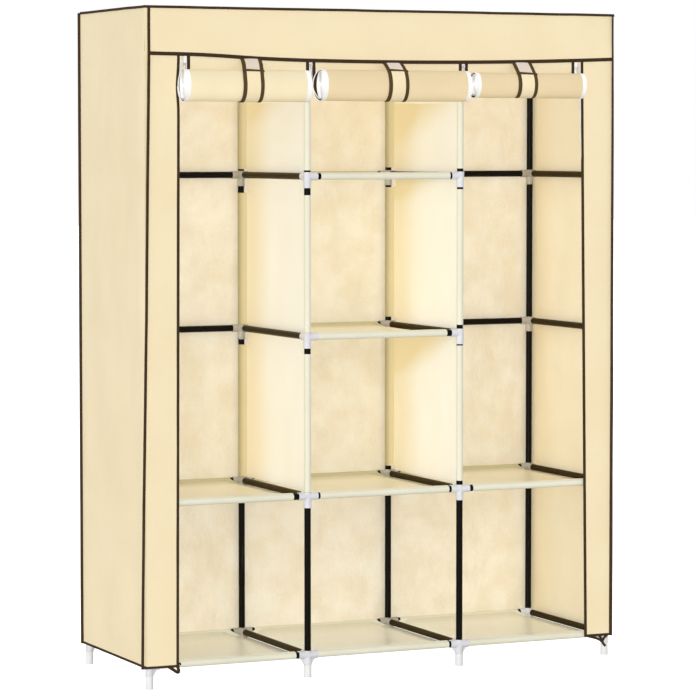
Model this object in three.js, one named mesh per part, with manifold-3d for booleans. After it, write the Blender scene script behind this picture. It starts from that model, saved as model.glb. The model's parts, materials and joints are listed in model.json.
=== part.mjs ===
// A free-standing fabric wardrobe: a knock-down frame of thin tubes pushed into plastic
// connectors, a sewn cloth cover over it, cloth shelves and partitions threaded on the tubes,
// and three cloth doors shown rolled up under the front valance.
// Millimetres, +Z up, +X to the right as seen from the front, the front faces -Y.

import * as THREE from 'three';
import { mergeVertices } from 'three/addons/utils/BufferGeometryUtils.js';
import Module from 'manifold-3d';

const wasm = await Module();
wasm.setup();

// Clearances
const seat = 0.3; // between pieces that touch
const overrun = 2; // how far a cutting tool runs past what it cuts

// Cover
const coverWidth = 1250;
const coverDepth = 430;
const coverCloth = 1.6;
const hemHeight = 52;
const jambWidth = 88;
const valanceDrop = 111;
const valanceSag = 13;

// Frame
const columns = 3;
const baseLevel = 55;
const rowPitch = 384;
const rows = 4;
const outerShelves = 2; // the outer columns are left open above these for hanging clothes
const tubeRadius = 8;
const tubeSides = 10;

// Connectors
const socketWall = 1.3;
const armLength = 25;
const hubRise = 10;
const hubDrop = 28;
const footHeight = 31;
const footRadius = 9.5;
const gussetReach = 17;
const gussetThickness = 4;

// Shelves and partitions
const shelfCloth = 1.3;
const shelfSag = 12;
const sagSteps = 6;
const stubLength = 8; // bare tube between a connector and a cloth tunnel
const partitionNotch = 27;

// Hanging rails
const clampLength = 24;

// Doors, rolled up
const rollHalfDepth = 26; // a roll hangs oval, flattened against the cover
const rollHalfHeight = 38;
const rollPitch = 4;
const rollGap = 0.7;
const rollTurns = 5;
const rollSteps = 16;
const rollDrop = 184;
const rollEndInset = 5.5;

// Straps
const strapWidth = 51;
const strapCloth = 1.5;
const strapArcSteps = 6;
const strapOffsets = [8, 12, -5];

// Zip sliders
const sliderWidth = 8;
const sliderHeight = 12;
const sliderThickness = 3.5;
const sliderDrop = 129;
const bridgeHeight = 5;
const tabWidth = 5;
const tabLength = 20;
const tabThickness = 1.2;

// What follows from them
const boreRadius = tubeRadius + seat;
const socketRadius = boreRadius + socketWall;
const shelfTunnel = boreRadius + shelfCloth;
const frameHalfWidth = coverWidth / 2 - coverCloth - seat - socketRadius;
const frameHalfDepth = coverDepth / 2 - coverCloth - seat - socketRadius;
const columnPitch = (2 * frameHalfWidth) / columns;
const postX = Array.from({ length: columns + 1 }, (_, i) => i * columnPitch - frameHalfWidth);
const level = Array.from({ length: rows + 1 }, (_, i) => baseLevel + i * rowPitch);
const topLevel = level[rows];
const innerTop = topLevel + socketRadius + seat;
const coverTop = innerTop + coverCloth;
const panelHalfWidth = coverWidth / 2 - coverCloth - seat;
const frontPlane = -coverDepth / 2;
const openingHalf = coverWidth / 2 - jambWidth;
const doorEdges = [-openingHalf, postX[1], postX[2], openingHalf];
const rollLift = rollHalfHeight - rollHalfDepth;
const rollY = frontPlane - seat - rollHalfDepth;
const rollZ = coverTop - rollDrop;
const strapInner = rollHalfDepth - rollPitch / 2 + seat;
const strapFront = rollY - strapInner - strapCloth;
const bodyShift = -(strapFront + coverDepth / 2) / 2;

const materials = {
  tube: new THREE.MeshStandardMaterial({ color: 0x1c1814, roughness: 0.35, metalness: 0.6 }),
  frontConnector: new THREE.MeshStandardMaterial({ color: 0xe9e8ee, roughness: 0.4, metalness: 0 }),
  rearConnector: new THREE.MeshStandardMaterial({ color: 0x9c9385, roughness: 0.45, metalness: 0 }),
  cover: new THREE.MeshStandardMaterial({ color: 0xf1e2bd, roughness: 0.9, metalness: 0 }),
  lining: new THREE.MeshStandardMaterial({ color: 0xf5e8c9, roughness: 0.9, metalness: 0 }),
  shelf: new THREE.MeshStandardMaterial({ color: 0xf1ecd8, roughness: 0.7, metalness: 0 }),
  strap: new THREE.MeshStandardMaterial({ color: 0xf0dfb6, roughness: 0.9, metalness: 0 }),
  zip: new THREE.MeshStandardMaterial({ color: 0xb9b2ad, roughness: 0.4, metalness: 0.5 }),
};

// Geometry helpers

const alongX = new THREE.Matrix4().makeRotationZ(-Math.PI / 2);
const alongZ = new THREE.Matrix4().makeRotationX(Math.PI / 2);
// A section drawn as (y, z) and extruded along X.
const sideSection = new THREE.Matrix4().makeBasis(
  new THREE.Vector3(0, 1, 0),
  new THREE.Vector3(0, 0, 1),
  new THREE.Vector3(1, 0, 0),
);
// An outline drawn as (x, z) and extruded towards the front.
const frontOutline = new THREE.Matrix4().makeBasis(
  new THREE.Vector3(1, 0, 0),
  new THREE.Vector3(0, 0, 1),
  new THREE.Vector3(0, -1, 0),
);

function toSolid(geometry) {
  geometry.deleteAttribute('normal');
  geometry.deleteAttribute('uv');
  const merged = mergeVertices(geometry);
  const vertProperties = Float32Array.from(merged.attributes.position.array);
  const triVerts = Uint32Array.from(merged.index.array);
  return new wasm.Manifold(new wasm.Mesh({ numProp: 3, vertProperties, triVerts }));
}

function toGeometry(solid) {
  const mesh = solid.getMesh();
  const geometry = new THREE.BufferGeometry();
  geometry.setAttribute('position', new THREE.BufferAttribute(mesh.vertProperties, 3));
  geometry.setIndex(new THREE.BufferAttribute(mesh.triVerts, 1));
  geometry.computeVertexNormals();
  return geometry;
}

// A round bar between two points that lie on a line along X, Y or Z.
function bar(radius, from, to) {
  const start = new THREE.Vector3(...from);
  const end = new THREE.Vector3(...to);
  const geometry = new THREE.CylinderGeometry(radius, radius, start.distanceTo(end), tubeSides);
  if (start.x !== end.x) geometry.applyMatrix4(alongX);
  if (start.z !== end.z) geometry.applyMatrix4(alongZ);
  const middle = start.add(end).multiplyScalar(0.5);
  geometry.translate(middle.x, middle.y, middle.z);
  return toSolid(geometry);
}

function block(low, high) {
  const size = high.map((value, i) => value - low[i]);
  const geometry = new THREE.BoxGeometry(...size);
  geometry.translate(...low.map((value, i) => value + size[i] / 2));
  return toSolid(geometry);
}

function extruded(points, depth, placing) {
  const outline = new THREE.Shape(points.map(([x, y]) => new THREE.Vector2(x, y)));
  const geometry = new THREE.ExtrudeGeometry(outline, { depth, bevelEnabled: false });
  geometry.applyMatrix4(placing);
  return geometry;
}

function addPiece(group, name, geometry, material, place = [0, 0, 0]) {
  const mesh = new THREE.Mesh(geometry, material);
  mesh.name = name;
  mesh.position.set(...place);
  group.add(mesh);
}

// Frame: every piece is built about its own level, at height zero

// The socket of a connector round an upright, from drop below the level to rise above it.
function hub([x, y], drop, rise) {
  return bar(socketRadius, [x, y, -drop], [x, y, rise]);
}

function hubBore([x, y], drop, rise) {
  return bar(boreRadius, [x, y, -drop], [x, y, rise]);
}

// A tube from one upright to the next with the connector arm on each end. An inset leaves room
// for a connector that belongs to another piece.
function link(from, to, fromInset, toInset) {
  const start = new THREE.Vector3(...from, 0);
  const end = new THREE.Vector3(...to, 0);
  const along = end.clone().sub(start).normalize();
  const at = (point, distance) => point.clone().addScaledVector(along, distance).toArray();
  return bar(tubeRadius, at(start, fromInset), at(end, -toInset))
    .add(bar(socketRadius, at(start, fromInset), at(start, armLength)))
    .add(bar(socketRadius, at(end, -armLength), at(end, -toInset)));
}

function join(solids) {
  return solids.reduce((whole, solid) => whole.add(solid));
}

// Rails with their connectors. Links are pairs of posts, and each bore takes an upright.
function connectedRails(posts, links, drop, rise, boreRise) {
  const hubs = posts.map((post) => hub(post, drop, rise));
  const tubes = links.map(([from, to]) => link(from, to, 0, 0));
  const bores = posts.map((post) => hubBore(post, drop + overrun, boreRise));
  return join([...hubs, ...tubes]).subtract(join(bores));
}

const frontPosts = postX.map((x) => [x, -frameHalfDepth]);
const backPosts = postX.map((x) => [x, frameHalfDepth]);
const neighbours = (posts) => posts.slice(1).map((post, i) => [posts[i], post]);
const depthPairs = frontPosts.map((post, i) => [post, backPosts[i]]);
const ringLinks = [...neighbours(frontPosts), ...neighbours(backPosts), ...depthPairs];
const allPosts = [...frontPosts, ...backPosts];

// A thin web between a base connector's arm and its socket.
function gusset([x, y], direction) {
  const inner = boreRadius + socketWall / 2;
  const baseDrop = baseLevel - footHeight - seat;
  const outline = [
    [inner, -baseDrop],
    [socketRadius, -baseDrop],
    [gussetReach, -tubeRadius],
    [inner, -tubeRadius],
  ];
  const geometry = extruded(outline, gussetThickness, frontOutline);
  geometry.translate(0, gussetThickness / 2, 0);
  geometry.rotateZ(Math.atan2(direction[1], direction[0]));
  geometry.translate(x, y, 0);
  return toSolid(geometry);
}

function baseFrame() {
  const drop = baseLevel - footHeight - seat;
  const webs = ringLinks.flatMap(([from, to]) => {
    const direction = [Math.sign(to[0] - from[0]), Math.sign(to[1] - from[1])];
    const back = direction.map((value) => -value);
    return [gusset(from, direction), gusset(to, back)];
  });
  const rails = connectedRails(allPosts, ringLinks, drop, hubRise, hubRise + overrun);
  return rails.add(join(webs));
}

// The top connectors are closed above, and the uprights end inside them.
const capInset = socketWall;
function topFrame() {
  return connectedRails(allPosts, ringLinks, hubDrop, socketRadius, socketRadius - capInset);
}

function rail(posts) {
  return connectedRails(posts, neighbours(posts), hubDrop, hubRise, hubRise + overrun);
}

// A depth tube between two rails. An outer one carries the front connector where no front
// rail passes.
function depthTube(ownsFrontHub) {
  const front = [0, -frameHalfDepth];
  const back = [0, frameHalfDepth];
  const inset = socketRadius + seat;
  if (!ownsFrontHub) return link(front, back, inset, inset);
  return link(front, back, 0, inset)
    .add(hub(front, hubDrop, hubRise))
    .subtract(hubBore(front, hubDrop + overrun, hubRise + overrun));
}

function upright() {
  const top = topLevel + socketRadius - capInset - seat;
  const profile = [
    [0, 0],
    [footRadius, 0],
    [footRadius, footHeight],
    [tubeRadius, footHeight],
    [tubeRadius, top],
    [0, top],
  ].map(([r, z]) => new THREE.Vector2(r, z));
  const geometry = new THREE.LatheGeometry(profile, tubeSides);
  geometry.applyMatrix4(alongZ);
  return toGeometry(toSolid(geometry));
}

// A hanging rail with a clamp ring on the top depth tube at each end.
function hangingRail() {
  const left = [0, 0];
  const right = [columnPitch, 0];
  const half = clampLength / 2;
  const rings = [left, right].map(([x]) => bar(socketRadius, [x, -half, 0], [x, half, 0]));
  const cutHalf = half + overrun;
  const cuts = [left, right].map(([x]) => bar(boreRadius, [x, -cutHalf, 0], [x, cutHalf, 0]));
  return link(left, right, 0, 0).add(join(rings)).subtract(join(cuts));
}

const frame = new THREE.Group();
const uprightGeometry = upright();
frontPosts.forEach(([x, y], i) => {
  addPiece(frame, `upright_front_${i + 1}`, uprightGeometry, materials.tube, [x, y, 0]);
  addPiece(frame, `upright_back_${i + 1}`, uprightGeometry, materials.tube, [x, -y, 0]);
});
addPiece(frame, 'base_frame', toGeometry(baseFrame()), materials.frontConnector, [0, 0, level[0]]);
addPiece(frame, 'top_frame', toGeometry(topFrame()), materials.tube, [0, 0, topLevel]);

const middlePosts = frontPosts.slice(1, columns);
for (let row = 1; row < rows; row += 1) {
  const frontRail = rail(row === 1 ? frontPosts : middlePosts);
  const place = [0, 0, level[row]];
  addPiece(frame, `front_rail_${row}`, toGeometry(frontRail), materials.frontConnector, place);
  addPiece(frame, `back_rail_${row}`, toGeometry(rail(backPosts)), materials.rearConnector, place);
  postX.forEach((x, i) => {
    const outer = i === 0 || i === columns;
    const tube = toGeometry(depthTube(outer && row > 1));
    addPiece(frame, `depth_tube_${row}_${i + 1}`, tube, materials.tube, [x, 0, level[row]]);
  });
}
const hangingGeometry = toGeometry(hangingRail());
addPiece(frame, 'hanging_rail_left', hangingGeometry, materials.tube, [postX[0], 0, topLevel]);
addPiece(frame, 'hanging_rail_right', hangingGeometry, materials.tube, [postX[2], 0, topLevel]);

// Cloth shelves: a sagging sheet with a tunnel round the front and back tubes
const sideInset = socketRadius + seat;
const tunnelInset = armLength + stubLength;

function sagSection(halfDepth) {
  const steps = Array.from({ length: sagSteps + 1 }, (_, i) => (2 * i) / sagSteps - 1);
  const reach = frameHalfDepth - boreRadius;
  const drop = (y) => -shelfSag * (1 - Math.min(1, Math.abs(y / reach)) ** 2);
  const top = steps.map((share) => [share * halfDepth, drop(share * halfDepth) + shelfCloth / 2]);
  const under = steps.map((share) => [share * halfDepth, drop(share * halfDepth) - shelfCloth / 2]);
  return [...under, ...top.reverse()];
}

function extrudedAlongX(points, length) {
  const geometry = extruded(points, length, sideSection);
  geometry.translate(-length / 2, 0, 0);
  return geometry;
}

function shelf() {
  const sheetWidth = columnPitch - 2 * sideInset;
  const tunnelWidth = columnPitch - 2 * tunnelInset;
  const sheet = extrudedAlongX(sagSection(frameHalfDepth - sideInset), sheetWidth);
  const reach = extrudedAlongX(sagSection(frameHalfDepth - tubeRadius), tunnelWidth);
  const tunnels = [-frameHalfDepth, frameHalfDepth].map((y) =>
    bar(shelfTunnel, [-tunnelWidth / 2, y, 0], [tunnelWidth / 2, y, 0]),
  );
  const boreHalf = tunnelWidth / 2 + overrun;
  const bores = [-frameHalfDepth, frameHalfDepth].map((y) =>
    bar(boreRadius, [-boreHalf, y, 0], [boreHalf, y, 0]),
  );
  return join([toSolid(sheet), toSolid(reach), ...tunnels]).subtract(join(bores));
}

const cloth = new THREE.Group();
const shelfGeometry = toGeometry(shelf());
const columnNames = ['left', 'middle', 'right'];
columnNames.forEach((name, column) => {
  const shelves = name === 'middle' ? rows : outerShelves;
  const x = postX[column] + columnPitch / 2;
  for (let row = 0; row < shelves; row += 1) {
    addPiece(cloth, `shelf_${name}_${row + 1}`, shelfGeometry, materials.shelf, [x, 0, level[row]]);
  }
});

// Cloth partitions: a sheet beside the inner uprights with a tunnel round each in every bay
function partition() {
  const half = frameHalfDepth - partitionNotch;
  const low = level[1] + socketRadius + seat;
  const high = topLevel - socketRadius - seat;
  const solids = [block([boreRadius, -half, low], [shelfTunnel, half, high])];
  const bores = [];
  for (let row = 1; row < rows; row += 1) {
    const from = level[row] + hubRise + stubLength;
    const to = level[row + 1] - hubDrop - stubLength;
    solids.push(block([boreRadius, -frameHalfDepth, from], [shelfTunnel, frameHalfDepth, to]));
    for (const y of [-frameHalfDepth, frameHalfDepth]) {
      solids.push(bar(shelfTunnel, [0, y, from], [0, y, to]));
      bores.push(bar(boreRadius, [0, y, from - overrun], [0, y, to + overrun]));
    }
  }
  return join(solids).subtract(join(bores));
}

const partitionGeometry = toGeometry(partition());
addPiece(cloth, 'partition_left', partitionGeometry, materials.lining, [postX[1], 0, 0]);
addPiece(cloth, 'partition_right', partitionGeometry, materials.lining, [postX[2], 0, 0]);

// Cover panels, sewn edge to edge

// Height of the valance's lower edge, which hangs lowest in the middle.
function valanceEdge(x) {
  return coverTop - valanceDrop - valanceSag * (1 - (x / panelHalfWidth) ** 2);
}

function valanceCurve(fromX, toX, below) {
  const count = Math.max(1, Math.round((sagSteps * (toX - fromX)) / columnPitch));
  const steps = Array.from({ length: count + 1 }, (_, i) => fromX + ((toX - fromX) * i) / count);
  return steps.map((x) => [x, valanceEdge(x) - below]);
}

function frontPanel(points) {
  const geometry = extruded(points, coverCloth, frontOutline);
  geometry.translate(0, frontPlane + coverCloth, 0);
  return geometry;
}

function hangingPanel(fromX, toX, bottom) {
  return frontPanel([[fromX, bottom], [toX, bottom], ...valanceCurve(fromX, toX, seat).reverse()]);
}

const cover = new THREE.Group();
const halfWidth = coverWidth / 2;
const halfDepth = coverDepth / 2;
const sidePanel = toGeometry(
  block([0, -halfDepth, hemHeight], [coverCloth, halfDepth, coverTop]),
);
addPiece(cover, 'cover_left', sidePanel, materials.cover, [-halfWidth, 0, 0]);
addPiece(cover, 'cover_right', sidePanel, materials.cover, [halfWidth - coverCloth, 0, 0]);
const panelTop = innerTop - seat;
const backPanel = block(
  [-panelHalfWidth, halfDepth - coverCloth, hemHeight],
  [panelHalfWidth, halfDepth, panelTop],
);
addPiece(cover, 'cover_back', toGeometry(backPanel), materials.lining);
const topPanel = block(
  [-panelHalfWidth, -halfDepth, innerTop],
  [panelHalfWidth, halfDepth, coverTop],
);
addPiece(cover, 'cover_top', toGeometry(topPanel), materials.cover);
const valance = frontPanel([
  ...valanceCurve(-panelHalfWidth, panelHalfWidth, 0),
  [panelHalfWidth, panelTop],
  [-panelHalfWidth, panelTop],
]);
addPiece(cover, 'valance', valance, materials.cover);
const jambLeft = hangingPanel(-panelHalfWidth, -openingHalf, hemHeight);
const jambRight = hangingPanel(openingHalf, panelHalfWidth, hemHeight);
addPiece(cover, 'jamb_left', jambLeft, materials.cover);
addPiece(cover, 'jamb_right', jambRight, materials.cover);

// Doors: a short hanging panel under the valance and the rest of the cloth rolled outwards

// The roll's section is an oval spiral strip that starts behind, passes under and comes up in front.
function spiralSection() {
  const count = rollTurns * rollSteps;
  const at = (i, inset) => {
    const angle = (2 * Math.PI * i) / rollSteps;
    const reach = rollHalfDepth - (rollPitch * i) / rollSteps - inset;
    return [reach * Math.cos(angle), -(reach + rollLift) * Math.sin(angle)];
  };
  const steps = Array.from({ length: count + 1 }, (_, i) => i);
  const outer = steps.map((i) => at(i, 0));
  const inner = steps.map((i) => at(i, rollPitch - rollGap));
  return [...outer, ...inner.reverse()];
}

// The least room between one turn of the roll and the next, measured on the section's points.
function leastTurnGap(points) {
  const half = points.length / 2;
  const outer = points.slice(0, half);
  const inner = points.slice(half).reverse();
  const facing = inner.slice(0, half - rollSteps);
  const next = outer.slice(rollSteps);
  const distances = facing.flatMap(([y, z]) => next.map(([v, w]) => Math.hypot(v - y, w - z)));
  return Math.min(...distances);
}

// A strap's section: from the valance's edge down to the roll, then round its upper front.
function strapSection(rootY, rootZ) {
  const half = strapCloth / 2;
  const reach = strapInner + half;
  const rise = reach + rollLift;
  const [u, v] = [rootY / reach, rootZ / rise];
  const touch = Math.atan2(v, u) + Math.acos(1 / Math.hypot(u, v));
  const steps = Array.from({ length: strapArcSteps + 1 }, (_, i) => i / strapArcSteps);
  const arc = (offset) => steps.map((share) => {
    const angle = touch + (Math.PI - touch) * share;
    return [(reach + offset) * Math.cos(angle), (rise + offset) * Math.sin(angle)];
  });
  const normal = new THREE.Vector2(Math.cos(touch) / reach, Math.sin(touch) / rise);
  normal.setLength(half);
  const outside = [[rootY + normal.x, rootZ + normal.y], ...arc(half)];
  const inside = [[rootY - normal.x, rootZ - normal.y], ...arc(-half)];
  return [...inside, ...outside.reverse()];
}

const rollSection = spiralSection();
console.log(`least gap between the turns of a roll: ${leastTurnGap(rollSection).toFixed(2)} mm`);
const strapRootY = frontPlane - seat - strapCloth / 2 - rollY;
const strapRootZ = valanceEdge(0) - seat - rollZ;

const doors = new THREE.Group();
columnNames.forEach((name, column) => {
  const fromX = doorEdges[column];
  const toX = doorEdges[column + 1];
  const centre = (fromX + toX) / 2;
  const panel = hangingPanel(fromX + seat / 2, toX - seat / 2, rollZ);
  addPiece(doors, `door_panel_${name}`, panel, materials.cover);
  const rollLength = toX - fromX - 2 * rollEndInset;
  const roll = extrudedAlongX(rollSection, rollLength);
  addPiece(doors, `door_roll_${name}`, roll, materials.cover, [centre, rollY, rollZ]);

  const strapX = centre + strapOffsets[column];
  const strap = extrudedAlongX(strapSection(strapRootY, strapRootZ), strapWidth);
  addPiece(doors, `strap_${name}`, strap, materials.strap, [strapX, rollY, rollZ]);
});

// Zip sliders on the four zips between the doors and the jambs
function zipSlider() {
  const body = block(
    [-sliderWidth / 2, -sliderThickness, -sliderHeight],
    [sliderWidth / 2, 0, 0],
  );
  const tab = block(
    [-tabWidth / 2, -sliderThickness - tabThickness, -sliderHeight / 2 - tabLength],
    [tabWidth / 2, -sliderThickness, -sliderHeight / 2],
  );
  const bridge = block(
    [-tabWidth / 2, -sliderThickness - tabThickness, -sliderHeight / 2 - bridgeHeight],
    [tabWidth / 2, -sliderThickness + tabThickness, -sliderHeight / 2],
  );
  return body.add(tab).add(bridge);
}

const sliderGeometry = toGeometry(zipSlider());
doorEdges.forEach((x, i) => {
  const place = [x, frontPlane - seat, coverTop - sliderDrop];
  addPiece(doors, `zip_slider_${i + 1}`, sliderGeometry, materials.zip, place);
});

const wardrobe = new THREE.Group();
wardrobe.add(frame, cloth, cover, doors);
wardrobe.position.y = bodyShift;

export default wardrobe;
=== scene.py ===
import json
import math
import bpy
import numpy as np
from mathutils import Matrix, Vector


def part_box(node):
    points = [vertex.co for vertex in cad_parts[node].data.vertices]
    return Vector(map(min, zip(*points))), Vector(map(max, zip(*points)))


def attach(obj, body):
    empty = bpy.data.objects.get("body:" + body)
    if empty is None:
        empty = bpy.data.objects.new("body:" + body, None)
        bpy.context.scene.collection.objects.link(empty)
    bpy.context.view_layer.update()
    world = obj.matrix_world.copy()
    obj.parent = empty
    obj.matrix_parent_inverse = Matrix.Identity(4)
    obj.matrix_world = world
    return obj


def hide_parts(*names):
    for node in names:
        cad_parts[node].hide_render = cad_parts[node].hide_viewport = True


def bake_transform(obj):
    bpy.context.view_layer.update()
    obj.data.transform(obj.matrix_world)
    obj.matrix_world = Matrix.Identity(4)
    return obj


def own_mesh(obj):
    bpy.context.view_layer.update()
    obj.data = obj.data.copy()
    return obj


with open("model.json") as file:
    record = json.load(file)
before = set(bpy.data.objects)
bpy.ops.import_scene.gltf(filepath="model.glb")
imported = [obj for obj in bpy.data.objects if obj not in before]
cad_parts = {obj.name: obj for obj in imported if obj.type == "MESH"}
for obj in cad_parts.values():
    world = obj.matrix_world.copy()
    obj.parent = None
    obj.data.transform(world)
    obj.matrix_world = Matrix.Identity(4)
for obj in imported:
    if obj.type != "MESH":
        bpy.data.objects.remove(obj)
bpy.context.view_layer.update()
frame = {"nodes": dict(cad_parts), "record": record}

print("frame loaded:", len(frame["nodes"]), "nodes")


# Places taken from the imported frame, in metres

def middle(node):
    low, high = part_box(node)
    return (low + high) / 2


coverLow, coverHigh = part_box("cover_left")[0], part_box("cover_right")[1]
halfWidth = coverHigh.x
frontY, backY = coverLow.y, coverHigh.y
hemZ, topZ = coverLow.z, coverHigh.z
centreY, depth, height = (frontY + backY) / 2, backY - frontY, topZ - hemZ
postX = [middle(f"upright_front_{i}").x for i in (1, 2, 3, 4)]
frontPost, backPost = middle("upright_front_1").y, middle("upright_back_1").y
postReach = (backPost - frontPost) / 2
columnPitch = postX[1] - postX[0]
rowPitch = middle("depth_tube_2_2").z - middle("depth_tube_1_2").z
levels = [middle("depth_tube_1_2").z + rowPitch * (row - 1) for row in range(5)]
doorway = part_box("jamb_left")[1].x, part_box("jamb_right")[0].x
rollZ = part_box("door_panel_middle")[0].z
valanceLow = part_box("valance")[0].z
joints = frame["record"]["behaviour"]["joints"]
mainBody = "frame_and_cover"
leftAndRight = (("left", -1), ("right", 1))
ahead = (0, -1, 0)

fit = dict(tube=0.008, bore=0.0083, socket=0.0096, armLength=0.025, hubRise=0.010, hubDrop=0.028,
           baseDrop=0.0237, footHeight=0.031, footRadius=0.0095, stub=0.008, seat=0.0003)


def addObject(name, data):
    made = bpy.data.objects.new(name, data)
    bpy.context.scene.collection.objects.link(made)
    return made


# Camera, at the photograph's angle

view = dict(yaw=math.radians(24.82), pitch=math.radians(3.67), distance=7.936, lens=165.4, farthest=60,
            aim=Vector((-0.0032, centreY, 0.7788)))
cameraData = bpy.data.cameras.new("camera")
cameraData.lens = view["lens"]
cameraData.clip_end = view["farthest"]
camera = addObject("camera", cameraData)
lookAlong = Vector((math.sin(view["yaw"]) * math.cos(view["pitch"]),
                    math.cos(view["yaw"]) * math.cos(view["pitch"]), -math.sin(view["pitch"])))
camera.location = view["aim"] - lookAlong * view["distance"]
camera.rotation_euler = (math.pi / 2 - view["pitch"], 0, -view["yaw"])
bpy.context.scene.camera = camera


# Finishes

class Wire:  # a shader socket that can be written into sums
    def __init__(self, tree, socket=None):
        self.tree = tree
        self.socket = socket

    def node(self, kind, settings=None, sockets=None, output=0):
        made = self.tree.nodes.new("ShaderNode" + kind)
        for key, value in (settings or {}).items():
            setattr(made, key, value)
        for key, value in (sockets or {}).items():
            socket = made.inputs[key]
            if isinstance(value, Wire):
                self.tree.links.new(value.socket, socket)
            else:
                socket.default_value = (*value, 1.0) if socket.type == "RGBA" else value
        return Wire(self.tree, made.outputs[output])

    def maths(self, operation, *values):
        return self.node("Math", {"operation": operation}, dict(enumerate(values)))

    def __add__(self, other):
        return self.maths("ADD", self, other)

    def __sub__(self, other):
        return self.maths("SUBTRACT", self, other)

    def __mul__(self, other):
        return self.maths("MULTIPLY", self, other)

    def __rsub__(self, other):
        return self.maths("SUBTRACT", other, self)

    __radd__ = __add__
    __rmul__ = __mul__

    def mod(self, other):
        return self.maths("FLOORED_MODULO", self, other)

    def atMost(self, other):
        return self.maths("MINIMUM", self, other)

    def sine(self):
        return self.maths("SINE", self)

    def size(self):
        return self.maths("ABSOLUTE", self)

    def between(self, low, high):  # 0 at low, 1 at high, smooth
        return self.node("MapRange", {"interpolation_type": "SMOOTHSTEP"}, {0: self, 1: low, 2: high})

    def noise(self, scale, detail=3.0, stretch=(1, 1, 1), roughness=0.55):
        place = self.node("VectorMath", {"operation": "MULTIPLY"}, {0: self, 1: stretch})
        return self.node("TexNoise", {}, {"Vector": place, "Scale": scale, "Detail": detail,
                                          "Roughness": roughness})

    def bump(self, height, distance, strength):
        sockets = {"Strength": strength, "Distance": distance, "Height": height}
        if self.socket is not None:
            sockets["Normal"] = self
        return self.node("Bump", {}, sockets)


class Finish:  # a material with its UV in metres, waiting for its surface
    def __init__(self, name):
        self.material = bpy.data.materials.new(name)
        self.material.use_nodes = True
        self.tree = self.material.node_tree
        self.tree.nodes.clear()
        self.plain = Wire(self.tree)
        self.uv = self.plain.node("TexCoord", output="UV")
        self.place = self.plain.node("TexCoord", output="Object")
        self.across = self.part(self.uv, 0)
        self.along = self.part(self.uv, 1)

    def part(self, vector, axis):  # one coordinate of a vector
        return self.plain.node("SeparateXYZ", {}, {0: vector}, axis)

    def mix(self, first, second, share, way="MIX"):  # colours
        settings = {"data_type": "RGBA", "blend_type": way}
        return self.plain.node("Mix", settings, {0: share, 6: first, 7: second}, output=2)

    def surface(self, **sockets):
        names = {key.replace("_", " "): value for key, value in sockets.items()}
        shader = self.plain.node("BsdfPrincipled", {}, names)
        output = self.tree.nodes.new("ShaderNodeOutputMaterial")
        self.tree.links.new(shader.socket, output.inputs[0])
        return self.material


clothLook = dict(weave=0.0013, foldAcross=0.31, foldAlong=0.27, foldHalf=0.006, foldWander=0.03)


def nonWoven(name, light, dark, sheen=0.15, roughness=0.85, wrinkleDepth=0.0012, blotch=5.5,
             shade=None, paintedShadeTint=None):
    finish = Finish(name)
    mottle = finish.place.noise(blotch, 4.0)
    fibre = finish.uv.noise(900, stretch=(1, 0.35, 1))
    speck = finish.place.noise(160, 2.0)
    base = finish.mix(light, dark, (mottle * 0.7 + fibre * 0.15 + speck * 0.15).between(0.32, 0.68))
    # Painted shade, multiplied into the cloth's colour
    if shade:
        base = finish.mix(base, paintedShadeTint, shade(finish), "MULTIPLY")
    weave = 2 * math.pi / clothLook["weave"]
    dots = (finish.across * weave).sine() * (finish.along * weave).sine()
    wander = finish.place.noise(3.0, 2.0) * clothLook["foldWander"]
    runs = (finish.across, clothLook["foldAcross"]), (finish.along, clothLook["foldAlong"])
    folds = [1 - ((run + wander).mod(every) - every / 2).size().between(0.0, clothLook["foldHalf"])
             for run, every in runs]
    wrinkle = finish.place.noise(14, 4.0, stretch=(1, 1, 0.6), roughness=0.62)
    bumps = finish.plain.bump(wrinkle, wrinkleDepth, 0.8)
    bumps = bumps.bump(folds[0] + folds[1], 0.0001, 0.6)
    bumps = bumps.bump(dots * 0.5 + fibre * 0.5, 0.00006, 0.7)
    return finish.surface(Base_Color=base, Roughness=fibre * 0.1 + (roughness - 0.05), Normal=bumps,
                          Sheen_Weight=sheen, Sheen_Roughness=0.5, Specular_IOR_Level=0.25)


rollShadow = 1.385  # height of the rolls' shadow on the partitions
partitionCeilings = {  # by post: (height, near, far) of each wedge of painted shadow
    1: [(rollShadow, -0.045, 0.085)],
    2: [(rollShadow, 0.0, 0.13), (levels[3], 0.0, 0.09), (levels[2], 0.055, 0.145)],
}
shelfSizes = dict(cloth=0.0008, sag=0.004, edgeDrop=0.0086, sideGap=0.003, wrinkle=0.0008, sleeve=0.00805,
                  sleeveCloth=0.0002)


def paintedCornerShade(finish):  # painted shade where a panel runs into the back corner, and under each level
    back = 1 - (backPost - finish.part(finish.place, 1)).between(0.0, 0.14)
    under = 1 - (rowPitch - (finish.part(finish.place, 2) - levels[0]).mod(rowPitch)).between(0.0, 0.12)
    return (back * 0.6 + under * under * 0.25).atMost(1.0)


def paintedPartitionShade(finish, ceilings):  # painted shade along the back edge, and a painted shadow in a wedge under each ceiling
    inwards = backPost - finish.part(finish.place, 1)
    share = (1 - inwards.between(0.035, 0.19)) * 0.72
    for ceiling, near, far in ceilings:
        drop = ceiling - finish.part(finish.place, 2)
        wedge = 1 - (drop + inwards * inwards * 0.85).between(near, far)
        share = share + wedge * drop.between(-0.002, 0.002)
    return share.atMost(1.0)


def paintedMiddleShade(finish):  # painted shade, a little darker half way up to even out the light
    up = finish.part(finish.place, 2)
    return up.between(0.05, 0.55) * (1 - up.between(0.75, 1.35)) * 0.8


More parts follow.
